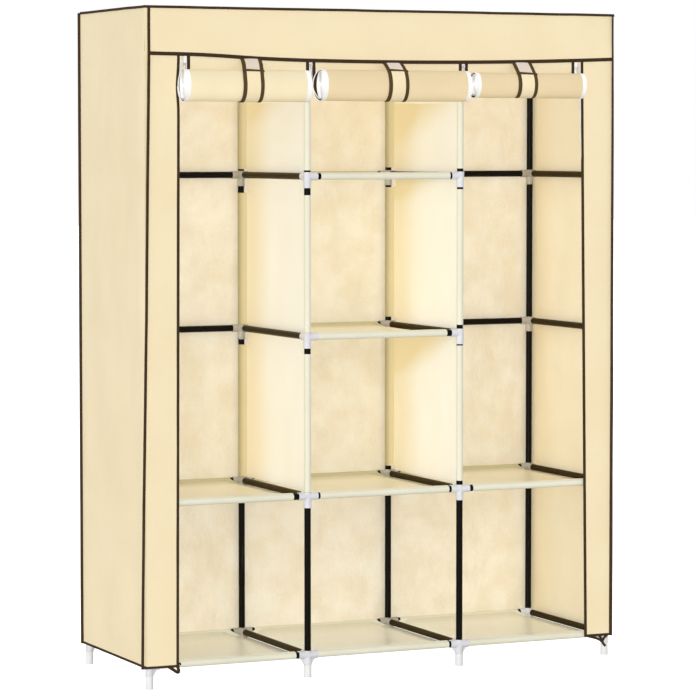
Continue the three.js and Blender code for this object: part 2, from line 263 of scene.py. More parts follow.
def paintedBackEdgeShade(finish, amount=0.9):  # painted shade on a shelf along and under its back tube
    inwards = backPost - shelfSizes["sleeve"] - finish.part(finish.place, 1)
    return (1 - inwards.between(-0.02, 0.125)) * amount


def paintedRollShade(finish):  # painted shade over a roll above its underside, which keeps the raised colour as painted light
    return finish.part(finish.place, 2).between(rollZ - 0.040, rollZ + 0.030)


coverCloth = nonWoven("coverCloth", (0.862, 0.738, 0.490), (0.829, 0.700, 0.452))
doorCloth = nonWoven("doorCloth", (0.865, 0.762, 0.535), (0.835, 0.725, 0.495))
strapCloth = nonWoven("strapCloth", (0.90, 0.76, 0.50), (0.86, 0.72, 0.46))
sleeveCloth = nonWoven("sleeveCloth", (0.775, 0.757, 0.620), (0.72, 0.703, 0.560), roughness=0.5)
# The lining, with painted shade half way up
liningCloth = nonWoven("liningCloth", (0.93, 0.87, 0.73), (0.855, 0.755, 0.575), wrinkleDepth=0.006,
                       blotch=13, shade=paintedMiddleShade, paintedShadeTint=(0.89, 0.895, 0.90))
# Partitions, with painted shade at the back post and painted shadows under the rolls and shelves
partitionCloth = {post: nonWoven(f"partitionCloth{post}", (0.963, 0.945, 0.855), (0.953, 0.925, 0.815),
                                 wrinkleDepth=0.002, shade=lambda finish: paintedPartitionShade(finish, ceilings),
                                 paintedShadeTint=(0.873, 0.760, 0.510))
                  for post, ceilings in partitionCeilings.items()}
# The side panels' inside face, with painted shade in the back corner and under each level
insideCloth = nonWoven("insideCloth", (0.868, 0.790, 0.600), (0.838, 0.745, 0.552),
                       shade=paintedCornerShade, paintedShadeTint=(0.914, 0.835, 0.684))
# The partitions' back sleeves are painted in shade: dark tan, darkest on the side away from the light
paintedShadeSleeve = nonWoven("paintedShadeSleeve", (0.66, 0.56, 0.33), (0.62, 0.53, 0.305),
                        shade=lambda finish: finish.across.between(0.0, 0.017),
                        paintedShadeTint=(0.60, 0.59, 0.52))
# Shelves, with painted shade along the back tube, half as strong on the base shelves
shelfCloth = nonWoven("shelfCloth", (0.94, 0.86, 0.665), (0.90, 0.81, 0.60), sheen=0.0, roughness=0.30,
                      wrinkleDepth=0.0010, shade=paintedBackEdgeShade, paintedShadeTint=(0.52, 0.52, 0.38))
baseShelfCloth = nonWoven("baseShelfCloth", (0.970, 0.950, 0.83), (0.940, 0.905, 0.77), sheen=0.0,
                          roughness=0.28, wrinkleDepth=0.0010,
                          shade=lambda finish: paintedBackEdgeShade(finish, 0.45), paintedShadeTint=(0.52, 0.52, 0.38))
# The rolls' colours are raised as painted light on their undersides; painted shade tones their tops back down
paleRoll = nonWoven("paleRoll", (0.995, 0.866, 0.583), (0.966, 0.822, 0.540),
                    shade=paintedRollShade, paintedShadeTint=(0.84, 0.85, 0.86))
tanRoll = nonWoven("tanRoll", (0.932, 0.750, 0.460), (0.888, 0.706, 0.428),
                   shade=paintedRollShade, paintedShadeTint=(0.84, 0.85, 0.86))

stitching = dict(fromEdge=0.0016, every=0.0042)


def wovenTape(name, base, thread, stitch, rib=0.0007):
    finish = Finish(name)
    ribs = 2 * math.pi / rib
    weave = (finish.along * ribs).sine() * (finish.across * ribs).sine()
    mottle = finish.place.noise(40)
    line = 1 - (finish.across - stitching["fromEdge"]).size().between(0.0002, 0.0005)
    dash = (finish.along.mod(stitching["every"]) - stitching["every"] / 2).size().between(0.0005, 0.0008)
    seam = line * (1 - dash)
    bumps = finish.plain.bump(weave, 0.00008, 0.8)
    bumps = bumps.bump(seam - line * 0.5, 0.0003, 0.8)
    return finish.surface(Base_Color=finish.mix(finish.mix(base, thread, mottle), stitch, seam),
                          Roughness=0.75 + mottle * 0.1, Normal=bumps, Specular_IOR_Level=0.1)


bindingTape = wovenTape("bindingTape", (0.038, 0.022, 0.010), (0.056, 0.034, 0.017), (0.11, 0.075, 0.045))
strapTape = wovenTape("strapTape", (0.075, 0.045, 0.017), (0.098, 0.061, 0.026), (0.15, 0.10, 0.05))
zipTape = wovenTape("zipTape", (0.95, 0.945, 0.94), (0.97, 0.965, 0.96), (0.90, 0.89, 0.88), rib=0.0009)


def moulded(name, base, shade, roughness, coat):
    finish = Finish(name)
    cloud = finish.place.noise(30)
    bumps = finish.plain.bump(finish.place.noise(1800, 2.0), 0.00003, 0.6)
    return finish.surface(Base_Color=finish.mix(base, shade, cloud.between(0.35, 0.65)), Normal=bumps,
                          Roughness=cloud * 0.12 + (roughness - 0.06), Coat_Weight=coat, Coat_Roughness=0.25,
                          Specular_IOR_Level=0.5)


connectorWhite = moulded("connectorWhite", (0.70, 0.705, 0.73), (0.645, 0.64, 0.68), 0.36, 0.15)
connectorGrey = moulded("connectorGrey", (0.46, 0.43, 0.37), (0.36, 0.33, 0.27), 0.36, 0.2)
footPlastic = moulded("footPlastic", (0.80, 0.80, 0.80), (0.74, 0.74, 0.75), 0.4, 0.1)
zipCoil = moulded("zipCoil", (0.80, 0.77, 0.78), (0.66, 0.63, 0.65), 0.4, 0.2)


def coatedTube(name, base, scuffed, shine):
    finish = Finish(name)
    cloud = finish.place.noise(22, 4.0)
    scuff = finish.place.noise(60, 4.0, stretch=(1, 1, 0.15)).between(0.66, 0.74)
    bumps = finish.plain.bump(finish.place.noise(700), 0.00003, 0.5)
    return finish.surface(Base_Color=finish.mix(base, scuffed, scuff), Roughness=0.24 + cloud * 0.14,
                          Normal=bumps, Specular_IOR_Level=shine)


tubeCoat = coatedTube("tubeCoat", (0.003, 0.002, 0.001), (0.015, 0.012, 0.008), 0.12)
# The depth tubes' brownish coat is a painted reflection of the cream cloth around them
paintedReflectionCoat = coatedTube("paintedReflectionCoat", (0.030, 0.018, 0.0015), (0.040, 0.026, 0.008), 0.035)


def zipMetal():
    finish = Finish("sliderMetal")
    cloud = finish.place.noise(400)
    return finish.surface(Base_Color=finish.mix((0.62, 0.58, 0.58), (0.78, 0.75, 0.75), cloud), Metallic=0.85,
                          Roughness=0.28 + cloud * 0.2, Normal=finish.plain.bump(cloud, 0.00004, 0.5))


def loopPatch():
    finish = Finish("loopPatch")
    fuzz = finish.uv.noise(1400, 4.0)
    base = finish.mix((0.66, 0.54, 0.44), (0.78, 0.68, 0.58), fuzz.between(0.35, 0.65))
    return finish.surface(Base_Color=base, Roughness=0.95, Normal=finish.plain.bump(fuzz, 0.0005, 0.9),
                          Sheen_Weight=0.5, Sheen_Roughness=0.6)


sliderFinish = zipMetal()
loopFinish = loopPatch()
print("finishes made")


# Shapes

creaseAngle = math.radians(38)
roundSides = 28


class Shape:  # points, faces and UV in metres, gathered for one piece
    def __init__(self):
        self.points, self.faces, self.corners, self.finishes, self.total = [], [], [], [], 0

    def add(self, points, faces, corners, finish=0):
        points = np.asarray(points, float).reshape(-1, 3)
        if volumeOf(points, faces) < 0:
            faces = [face[::-1] for face in faces]
            corners = [corner[::-1] for corner in corners]
        self.points.append(points)
        self.faces += [tuple(i + self.total for i in face) for face in faces]
        self.corners += [pair for corner in corners for pair in corner]
        self.finishes += finish if isinstance(finish, list) else [finish] * len(faces)
        self.total += len(points)

    def piece(self, name, finishes, slot, body=mainBody, stands=()):
        mesh = bpy.data.meshes.new(name)
        mesh.from_pydata(np.concatenate(self.points).tolist(), [], self.faces)
        uvs = mesh.uv_layers.new(name="UVMap")
        uvs.data.foreach_set("uv", np.asarray(self.corners, float).ravel())
        for finish in finishes:
            mesh.materials.append(finish)
        mesh.polygons.foreach_set("material_index", self.finishes)
        mesh.polygons.foreach_set("use_smooth", [True] * len(self.faces))
        mesh.set_sharp_from_angle(angle=creaseAngle)
        mesh.update()
        made = addObject(name, mesh)
        if body:
            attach(made, body)
        if stands:
            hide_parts(*stands)
        return made


def volumeOf(points, faces):
    total = 0.0
    for size in {len(face) for face in faces}:
        group = np.array([face for face in faces if len(face) == size])
        first = points[group[:, 0]]
        for i in range(1, size - 1):
            square = np.cross(points[group[:, i]], points[group[:, i + 1]])
            total += np.einsum("ij,ij->i", first, square).sum()
    return total


def unit(vectors):
    return vectors / np.maximum(np.linalg.norm(vectors, axis=-1, keepdims=True), 1e-12)


def bounded(value):
    return np.clip(value, 0, 1)


def smooth(value):  # 0 to 1 with soft ends
    return value * value * (3 - 2 * value)


def bell(distance, width):
    return np.exp(-(distance / width) ** 2)


def gridOf(x, y, z):  # points from coordinates, where each may be the same along a row or a column
    return np.stack(np.broadcast_arrays(x, y, z), axis=-1)


def reachAlong(points):  # distance run along a line of points
    steps = np.linalg.norm(np.diff(points, axis=0), axis=-1)
    return np.concatenate([[0], np.cumsum(steps)])


def spanOf(start, end):  # a line's start, direction and length
    start, end = np.asarray(start, float), np.asarray(end, float)
    length = np.linalg.norm(end - start)
    return start, (end - start) / length, length


def shares(rows, cols):  # 0 to 1 along a row, and along a column
    return np.linspace(0, 1, cols)[None, :], np.linspace(0, 1, rows)[:, None]


def lineOf(start, end, count):
    share = np.linspace(0, 1, count)[:, None]
    return np.asarray(start, float) * (1 - share) + np.asarray(end, float) * share


def waves(a, b, seed, size, layers=4):  # smooth seeded noise, about -1 to 1
    random = np.random.default_rng(seed)
    total = np.zeros(np.broadcast(a, b).shape)
    weight = 0
    for layer in range(layers):
        strength = 0.6 ** layer
        rate = 2 * math.pi / (size * strength)
        for _ in range(3):
            turn, phase, other = random.uniform(0, 2 * math.pi, 3)
            cross = rate * 0.6 * (a * math.sin(turn) - b * math.cos(turn)) + other
            wave = rate * (a * math.cos(turn) + b * math.sin(turn)) + phase + 0.9 * np.sin(cross)
            total += strength * np.sin(wave)
        weight += strength * 2.0
    return total / weight


# A thin closed sheet. points[row][column] is its middle surface. reverse is the finish of its other face, and
# edge that of its first column's edge.
def addSheet(shape, points, thickness, finish=0, reverse=None, edge=None, uv=None):
    rows, cols = points.shape[:2]
    offset = unit(np.cross(np.gradient(points, axis=1), np.gradient(points, axis=0))) * thickness / 2
    both = np.stack([points + offset, points - offset])
    front, back = np.arange(2 * rows * cols).reshape(2, rows, cols)
    if uv is None:
        uv = np.stack(np.meshgrid(reachAlong(points[rows // 2]), reachAlong(points[:, cols // 2])), axis=-1)
    uvs = np.concatenate([uv.reshape(-1, 2)] * 2)
    cells = [
        (front[:-1, :-1], front[:-1, 1:], front[1:, 1:], front[1:, :-1]),
        (back[:-1, :-1], back[1:, :-1], back[1:, 1:], back[:-1, 1:]),
        (front[0, 1:], front[0, :-1], back[0, :-1], back[0, 1:]),
        (front[-1, :-1], front[-1, 1:], back[-1, 1:], back[-1, :-1]),
        (front[:-1, 0], front[1:, 0], back[1:, 0], back[:-1, 0]),
        (front[1:, -1], front[:-1, -1], back[:-1, -1], back[1:, -1]),
    ]
    faces = np.concatenate([np.stack([part.ravel() for part in cell], axis=1) for cell in cells])
    finish = np.broadcast_to(finish, (rows - 1, cols - 1))
    inside = finish if reverse is None else np.broadcast_to(reverse, finish.shape)
    edge = finish[:, 0] if edge is None else edge
    kinds = [kind.ravel() for kind in (finish, inside, finish[0], finish[-1], edge, finish[:, -1])]
    shape.add(both, faces.tolist(), uvs[faces].tolist(), np.concatenate(kinds).tolist())


def sheetPiece(name, points, thickness, finishes, slot, stands, body=mainBody, **look):
    shape = Shape()
    addSheet(shape, points, thickness, **look)
    return shape.piece(name, finishes, slot, body, [stands])


# Rings joined into a closed body: capped at both ends, or closed into a hoop.
def addRings(shape, rings, finish=0, hoop=False, around=None, along=None):
    rings = np.asarray(rings, float)
    count, size = rings.shape[:2]
    index = np.arange(count * size).reshape(count, size)
    along = reachAlong(rings.mean(axis=1)) if along is None else along
    around = reachAlong(np.concatenate([rings[0], rings[0][:1]])) if around is None else around
    low, high = (index, np.roll(index, -1, axis=0)) if hoop else (index[:-1], index[1:])
    faces = np.stack([low, np.roll(low, -1, axis=1), np.roll(high, -1, axis=1), high], axis=-1)
    u = np.broadcast_to(around, (len(low), size + 1))
    v = np.broadcast_to(along[:, None], (len(along), size))[:len(low) + 1]
    pairs = (u[:, :-1], v[:-1]), (u[:, 1:], v[:-1]), (u[:, 1:], v[1:]), (u[:, :-1], v[1:])
    corners = np.stack([np.stack(pair, -1) for pair in pairs], axis=2)
    faces = faces.reshape(-1, 4).tolist()
    corners = corners.reshape(-1, 4, 2).tolist()
    if not hoop:
        faces += [index[0][::-1].tolist(), index[-1].tolist()]
        flat = np.stack([around[:-1], np.zeros(size)], axis=1)
        corners += [flat[::-1].tolist(), flat.tolist()]
    shape.add(rings, faces, corners, finish)


def circleRound(direction, angle):  # unit vectors square to a direction, at angles
    first = np.cross(direction, (0, 0, 1) if abs(direction[2]) < 0.9 else (0, 1, 0))
    first = first / np.linalg.norm(first)
    return np.cos(angle)[..., None] * first + np.sin(angle)[..., None] * np.cross(direction, first)


# A turned bar along a line: profile is (distance, radius), hollow ones close on themselves.
def addTurned(shape, start, direction, profile, finish=0, hollow=False):
    start, direction, profile = (np.asarray(values, float) for values in (start, direction, profile))
    circle = circleRound(direction, np.linspace(0, 2 * math.pi, roundSides, endpoint=False))
    rings = start + profile[:, 0, None, None] * direction + profile[:, 1, None, None] * circle
    around = np.linspace(0, 2 * math.pi * profile[:, 1].max(), roundSides + 1)
    along = reachAlong(np.concatenate([profile, profile[:1]]) if hollow else profile)
    addRings(shape, rings, finish, hollow, around, along)


def addTube(shape, start, end, finish=0, bevel=0.0008):
    start, direction, length = spanOf(start, end)
    radius = fit["tube"]
    profile = [(0, radius - bevel), (bevel, radius), (length - bevel, radius), (length, radius - bevel)]
    addTurned(shape, start, direction, profile, finish)


# A band swept along a path. section holds (sideways, outwards) points, and its first number is the UV.
def addBand(shape, path, section, outward, finish=0):
    path = np.asarray(path, float)
    tangent = unit(np.gradient(path, axis=0))
    outward = np.broadcast_to(np.asarray(outward, float), path.shape)
    outward = unit(outward - (outward * tangent).sum(axis=1, keepdims=True) * tangent)
    side = np.cross(tangent, outward)
    rings = path[:, None] + section[None, :, :1] * side[:, None] + section[None, :, 1:] * outward[:, None]
    around = np.append(section[:, 0], section[0, 0])
    addRings(shape, rings, finish, around=around - section[:, 0].min(), along=reachAlong(path))


def softBox(width, thick, sides=16, power=4.5):  # rounded band section
    angle = (np.arange(sides) + 0.5) * 2 * math.pi / sides
    bend = 2 / power
    across = np.sign(np.cos(angle)) * np.abs(np.cos(angle)) ** bend * width / 2
    out = np.sign(np.sin(angle)) * np.abs(np.sin(angle)) ** bend * thick / 2
    return np.stack([across, out], axis=1)


# Frame: tubes

frontPosts = [(x, frontPost) for x in postX]
backPosts = [(x, backPost) for x in postX]
bothRows = (("front", frontPosts), ("back", backPosts))
depthPairs = list(zip(frontPosts, backPosts))
withDepth = [tubeCoat, paintedReflectionCoat]
upright = dict(overFloor=0.029, overTop=0.006)


def nextTo(posts):
    return list(zip(posts, posts[1:]))


def tubeRuns(name, pairs, row, stands, finishes=(tubeCoat,)):  # tubes that run in depth take a brownish coat, a painted reflection of the cloth around them
    shape = Shape()
    for start, end in pairs:
        addTube(shape, (*start, levels[row]), (*end, levels[row]), int(start[0] == end[0]))
    shape.piece(name, finishes, "tube", stands=[stands])


for place, posts in bothRows:
    for number, post in enumerate(posts, 1):
        shape = Shape()
        addTube(shape, (*post, upright["overFloor"]), (*post, levels[4] + upright["overTop"]))
        shape.piece(f"tube_upright_{place}_{number}", [tubeCoat], "tube",
                    stands=[f"upright_{place}_{number}"])
ring = nextTo(frontPosts) + nextTo(backPosts) + depthPairs
tubeRuns("tubes_base", ring, 0, "base_frame", withDepth)
tubeRuns("tubes_top", ring, 4, "top_frame", withDepth)
for row in (1, 2, 3):
    frontRun = frontPosts if row == 1 else frontPosts[1:3]
    tubeRuns(f"tubes_front_{row}", nextTo(frontRun), row, f"front_rail_{row}")
    tubeRuns(f"tubes_back_{row}", nextTo(backPosts), row, f"back_rail_{row}")
    for number, pair in enumerate(depthPairs, 1):
        tubeRuns(f"tube_depth_{row}_{number}", [pair], row, f"depth_tube_{row}_{number}", withDepth)


# Frame: moulded connectors, feet and hanging rails

moulding = dict(rim=0.0005, rimLength=0.0035, edge=0.0003, web=0.004, webReach=0.0195, webFrom=0.009,
                cap=0.0013)
clamp = dict(length=0.024, socket=0.0162, fromPost=0.0088, railEnd=0.010)
slots = dict(front="front_connector", back="rear_connector")


def socketProfile(length, closedEnd=False):  # a sleeve from 0 to length with a bead at its mouth
    inner, outer, bead, edge = fit["bore"], fit["socket"], moulding["rimLength"], moulding["edge"]
    rim = outer + moulding["rim"]
    mouth = [(length - bead, outer), (length - bead + edge, rim), (length - edge, rim), (length, rim - edge),
             (length, inner)]
    if closedEnd:
        return [(0, inner), (0, outer), *mouth]
    return [(0, inner), (0, rim - edge), (edge, rim), (bead - edge, rim), (bead, outer), *mouth]


def addWeb(shape, post, direction, height, drop, finish):  # the thin plate under a base connector's arm
    along = np.array([*direction, 0.0])
    side = np.array([-direction[1], direction[0], 0.0])
    corner = np.array([*post, height])
    start, reach = moulding["webFrom"], moulding["webReach"]
    outline = [(start, -drop), (fit["socket"], -drop), (reach, -0.009), (start, -0.008)]
    rings = []
    for out, shrink in ((-1, 0.0003), (-0.8, 0), (0.8, 0), (1, 0.0003)):
        rings.append([corner + along * (a - shrink * (a > start)) + np.array([0, 0, b])
                      + side * out * moulding["web"] / 2 for a, b in outline])
    addRings(shape, rings, finish)


def addConnector(shape, post, level, arms, finish):
    height = levels[level]
    rise = fit["socket"] if level == 4 else fit["hubRise"]
    drop = fit["baseDrop"] if level == 0 else fit["hubDrop"]
    if level == 4:
        radius = fit["bore"] + 0.0004
        cap = [(0, radius), (0.0008, radius), (moulding["cap"], radius - 0.0009)]
        addTurned(shape, (*post, height + rise - moulding["cap"]), (0, 0, 1), cap, finish)
    addTurned(shape, (*post, height - drop), (0, 0, 1), socketProfile(rise + drop), finish, hollow=True)
    for direction in arms:
        addTurned(shape, (*post, height), (*direction, 0.0), socketProfile(fit["armLength"], closedEnd=True),
                  finish, hollow=True)
        if level == 0:
            addWeb(shape, post, direction, height, drop, finish)


for level in range(5):
    for place, posts in bothRows:
        shape = Shape()
        everyBay = place == "back" or level in (0, 1, 4)
        for number, post in enumerate(posts):
            arms = [(0.0, 1.0 if place == "front" else -1.0)]
            if number > 0 and (everyBay or number == 2):
                arms.append((-1.0, 0.0))
            if number < 3 and (everyBay or number == 1):
                arms.append((1.0, 0.0))
            grey = place == "back" and (level > 0 or number in (1, 2))
            addConnector(shape, post, level, arms, int(grey))
        shape.piece(f"connectors_{place}_{level}", [connectorWhite, connectorGrey], slots[place])

top, radius = fit["footHeight"], fit["footRadius"]
footProfile = [(0, radius - 0.0012), (0.0004, radius - 0.0004), (0.0012, radius),
               (top - 0.004, radius - 0.0003), (top - 0.0036, radius + 0.0002),
               (top - 0.0006, radius + 0.0002), (top, radius - 0.0004)]
for place, posts in bothRows:
    shape = Shape()
    for post in posts:
        addTurned(shape, (*post, 0), (0, 0, 1), footProfile)
    shape.piece(f"feet_{place}", [footPlastic], slots[place])

for place, first in (("left", 0), ("right", 2)):
    shape = Shape()
    start, end = postX[first:first + 2]
    addTube(shape, (start + clamp["railEnd"], centreY, levels[4]),
            (end - clamp["railEnd"], centreY, levels[4]))
    for x, direction in ((start, 1.0), (end, -1.0)):
        addTurned(shape, (x, centreY - clamp["length"] / 2, levels[4]), (0, 1, 0),
                  socketProfile(clamp["length"]), finish=1, hollow=True)
        addTurned(shape, (x + direction * clamp["fromPost"], centreY, levels[4]), (direction, 0, 0),
                  socketProfile(clamp["socket"], True), finish=1, hollow=True)
    shape.piece(f"rail_hanging_{place}", [tubeCoat, connectorGrey], "tube", stands=[f"hanging_rail_{place}"])
print("frame made")


# Cloth shelves: a sagging sheet with a sleeve round the front and the back tube

bareTube = {  # how much of the front tube shows beyond each shelf's sleeve, left and right
    (0, 0): (0.0004, 0.008), (0, 1): (0.008, 0.014), (1, 0): (0.0004, 0.006), (1, 1): (0.006, 0.0065),
    (1, 2): (0.0004, 0.013), (1, 3): (0.0086, 0.005), (2, 0): (0.0004, 0.008), (2, 1): (0.0096, 0.008),
}


# A sleeve round a tube. tip is the distance and the angle of the stitched edge it is drawn out to.
def addSleeve(shape, start, end, seed, finish=0, wrinkle=0.0001, tip=None):
    start, direction, length = spanOf(start, end)
    turn = np.linspace(0, 2 * math.pi, 37)
    along = np.linspace(0, length, max(8, int(length / 0.012)))
    a, s = np.meshgrid((tip[1] if tip else 0) - turn[:-1], along)
    swell = np.full_like(a, shelfSizes["sleeve"] + shelfSizes["sleeveCloth"])
    if tip:
        limit = math.acos(swell[0, 0] / tip[0])
        swell = swell / np.cos(np.clip(limit - np.minimum(turn, 2 * math.pi - turn)[None, :-1], 0, None))
    swell = swell + wrinkle * (1 + waves(np.cos(a) * 0.01, s, seed, 0.035))
    circle = circleRound(direction, a)
    line = start + s[..., None] * direction
    rings = np.concatenate([line + swell[..., None] * circle, (line + shelfSizes["sleeve"] * circle)[::-1]])
    addRings(shape, rings, finish, hoop=True, around=turn * fit["socket"],
             along=np.concatenate([along, along[::-1], along[:1]]))


def shelfSheet(name, column, row, seed):
    shape = Shape()
    left, right = postX[column], postX[column + 1]
    centre = (left + right) / 2
    halfSheet = columnPitch / 2 - shelfSizes["sideGap"]
    halfEnd = columnPitch / 2 - fit["socket"] - fit["seat"]
    bareFront, bareBack = bareTube[(column, row)], (fit["stub"], fit["stub"])
    inner, notch = postReach - fit["socket"] - fit["seat"], postReach - fit["armLength"] - 0.004
    share = np.concatenate([[-postReach, -inner - 0.0006], np.linspace(-inner, -notch - 0.001, 5),
                            np.linspace(-notch, notch, 33), np.linspace(notch + 0.001, inner, 5),
                            [inner + 0.0006, postReach - shelfSizes["sleeve"]]])
    half = np.where(np.abs(share) <= notch + 1e-6, halfSheet, halfEnd)
    lows, highs = centre - half, centre + half
    spans = [(left + fit["armLength"] + bare[0], right - fit["armLength"] - bare[1])
             for bare in (bareFront, bareBack)]
    lows[:2], highs[:2] = spans[0]
    lows[-2:], highs[-2:] = spans[1]
    x = lows[:, None] + (np.linspace(-1, 1, 41) + 1) / 2 * (highs - lows)[:, None]
    y = centreY + share[:, None] + 0 * x
    ease = np.abs(share)[:, None] / postReach
    rim = smooth(bounded((halfSheet - np.abs(x - centre)) / 0.060))
    clear = smooth(bounded((columnPitch / 2 - fit["armLength"] - 0.004 - np.abs(x - centre)) / 0.020))
    rim = rim * (1 - bounded((ease - 0.74) / 0.10) * (1 - clear))
    wrinkle = waves(x, y * 0.6, seed, 0.16) * shelfSizes["wrinkle"] * np.minimum(1, (1 - ease ** 2) * 3) * rim
    top = np.where(share < 0, shelfSizes["sleeve"] + 0.0003, 0.004)[:, None]
    flat = 0.003 - shelfSizes["sag"] * (1 - ease ** 2)
    climb = bounded((ease - 0.86) / (inner / postReach - 0.86)) ** 2
    z = (flat + (top - flat) * climb + shelfSizes["edgeDrop"]) * rim - shelfSizes["edgeDrop"]
    z = levels[row] + np.where(np.abs(share)[:, None] > inner + 0.0003, top, z + wrinkle)
    addSheet(shape, gridOf(x, y, z), shelfSizes["cloth"])
    # The back sleeve takes the shelf's cloth, with its painted shade
    for y, (low, high), finish in zip((frontPost, backPost), spans, (1, 0)):
        addSleeve(shape, (low, y, levels[row]), (high, y, levels[row]), seed + 7, finish)
    made = shape.piece(f"cloth_{name}", [shelfCloth if row else baseShelfCloth, sleeveCloth], "shelf_cloth",
                       stands=[name])
    reach = 2 * postReach + 2 * math.pi * 0.009 + 0.02
    2 * halfSheet * reach * 0.96


for column, (name, count) in enumerate((("left", 2), ("middle", 4), ("right", 2))):
    for row in range(count):
        shelfSheet(f"shelf_{name}_{row + 1}", column, row, 40 + column * 10 + row)


# Cloth partitions: one sheet with sleeves round the inner uprights in each bay

partitionSizes = dict(cloth=0.0010, notch=0.027, wrinkle=0.0016, tip=(0.019, math.radians(116.6)))
barePost = {  # how much of each inner front upright shows below and above its sleeves, bay by bay from below
    1: [(0.0004, 0.0135), (0.0004, 0.017), (0.0045, 0.008)],
    2: [(0.010, 0.0035), (0.0095, 0.005), (0.0075, 0.008)],
}


def partitionSheet(name, post, seed):
    shape = Shape()
    low = levels[1] + fit["socket"] + fit["seat"]
    high = levels[4] - fit["socket"] - fit["seat"]
    bays = [(levels[row] + fit["hubRise"] + bare[0], levels[row + 1] - fit["hubDrop"] - bare[1])
            for row, bare in zip((1, 2, 3), barePost[post])]
    heights = [low]
    for bottom, top in bays:
        heights += [bottom - 0.0006, bottom] + list(np.linspace(bottom, top, 26)[1:-1]) + [top, top + 0.0006]
    heights = np.array(heights + [high])
    inBay = np.zeros(len(heights), bool)
    for bottom, top in bays:
        inBay |= (heights >= bottom - 1e-6) & (heights <= top + 1e-6)
    wide = np.where(inBay, postReach, postReach - partitionSizes["notch"])
    across = np.linspace(-1, 1, 37)
    y = centreY + across[None, :] * wide[:, None]
    z = heights[:, None] + 0 * y
    calm = bounded((1 - np.abs(across)) / 0.2)
    for level in levels[1:4]:
        calm = calm * bounded((np.abs(z - level) - 0.014) / 0.05)
    x = postX[post] + shelfSizes["sleeve"] + partitionSizes["cloth"] / 2
    x = x + (0.6 + waves(y, z * 0.35, seed, 0.2)) * partitionSizes["wrinkle"] * calm
    addSheet(shape, gridOf(x, y, z), partitionSizes["cloth"])
    for bottom, top in bays:
        for y, finish in ((frontPost, 1), (backPost, 2)):
            addSleeve(shape, (postX[post], y, bottom), (postX[post], y, top), seed + finish, finish,
                      tip=partitionSizes["tip"] if finish == 2 else None)
    made = shape.piece(f"cloth_{name}", [partitionCloth[post], sleeveCloth, paintedShadeSleeve], "lining_cloth",
                       stands=[name])
    2 * postReach + 2 * math.pi * 0.009
    high - low


partitionSheet("partition_left", 1, 61)
partitionSheet("partition_right", 2, 62)
print("shelves and partitions made")


# Cover: sewn panels

coverSizes = dict(cloth=0.0016, inset=0.0019, bulge=0.0045, backBulge=0.0062, topSink=0.003,
                  frontBulge=0.0026, ripple=0.0009, taperLeft=0.0075, taperRight=0.018, rollPush=0.0035)
halfCloth = coverSizes["cloth"] / 2
panelHalf = halfWidth - coverSizes["inset"]
panelTop = topZ - coverSizes["inset"]


def valanceEdge(x):
    return valanceLow + 0.013 * (x / panelHalf) ** 2 + 0.004 * bell(x + 0.48, 0.13)


def pressedAt(z):  # 0 where the cover lies on a tube, 1 between
    calm = np.ones_like(z)
    for level in levels:
        calm = calm * (1 - bell(z - level, 0.035))
    return calm


def softCover(points, outward, seed, amount, stretch=(1.0, 0.35), edgeAt=0.06):
    u, v = shares(*points.shape[:2])
    free = bounded(np.minimum(u, 1 - u) / edgeAt) * bounded(np.minimum(v, 1 - v) / (edgeAt / 2))
    wave = waves(reachAlong(points[0])[None, :] * stretch[0], reachAlong(points[:, 0])[:, None] * stretch[1],
                 seed, 0.24)
    return points + (amount * free * (0.5 + 0.5 * wave))[..., None] * np.asarray(outward, float)


def wall(start, across, up, rows, cols):
    u, v = shares(rows, cols)
    return gridOf(*(a + u * b + v * c for a, b, c in zip(start, across, up)))


def coverPanel(name, points, stands, finishes=(coverCloth,), slot="cover_cloth", **look):
    return sheetPiece(name, points, coverSizes["cloth"], finishes, slot, stands, **look)


for seed, (side, out) in enumerate(leftAndRight, 11):
    start = frontY if out > 0 else backY
    grid = wall((out * (halfWidth - halfCloth), start, hemZ), (0, depth * out, 0), (0, 0, height), 150, 40)
    amount = coverSizes["bulge"] * (0.25 + 0.75 * pressedAt(grid[..., 2]))
    grid = softCover(grid, (out, 0, 0), seed, amount)
    coverPanel(f"cloth_side_{side}", grid, f"cover_{side}", [coverCloth, insideCloth],
                             reverse=1)

grid = wall((panelHalf, backY - halfCloth, hemZ), (-2 * panelHalf, 0, 0), (0, 0, panelTop - hemZ), 140, 110)
amount = coverSizes["backBulge"] * (0.2 + 0.8 * pressedAt(grid[..., 2]))
for x in postX:
    amount = amount * (1 - 0.6 * bell(grid[..., 0] - x, 0.02))
creases = waves(grid[..., 0] * 1.4, grid[..., 2], 99, 0.3, 5)
amount = amount * (0.55 + 0.45 * (1 - np.abs(creases)) ** 3)
grid = softCover(grid, (0, 1, 0), 13, amount, stretch=(0.8, 0.8), edgeAt=0.03)
backPanel = coverPanel("cloth_back", grid, "cover_back", [liningCloth], "lining_cloth")

grid = wall((-panelHalf, frontY, topZ - halfCloth), (2 * panelHalf, 0, 0), (0, depth, 0), 34, 90)
x, y = grid[..., 0], grid[..., 1]
free = np.ones(grid.shape[:2])  # 0 over the tubes and the hanging rails
for post in postX:
    free = free * (1 - bell(x - post, 0.03))
for start, end in (postX[:2], postX[2:]):
    free = np.where((x > start) & (x < end), free * (1 - bell(y - centreY, 0.03)), free)
sink = coverSizes["topSink"] * waves(x, y, 14, 0.2) - coverSizes["topSink"]
grid[..., 2] += sink * free * bounded(np.minimum(y - frontY, backY - y) / 0.05)
topPanel = coverPanel("cloth_top", grid, "cover_top")


def frontBow(z):  # how far the front's cloth stands before the frame at a height
    return coverSizes["frontBulge"] * bounded((topZ - 0.006 - z) / 0.09) ** 1.5


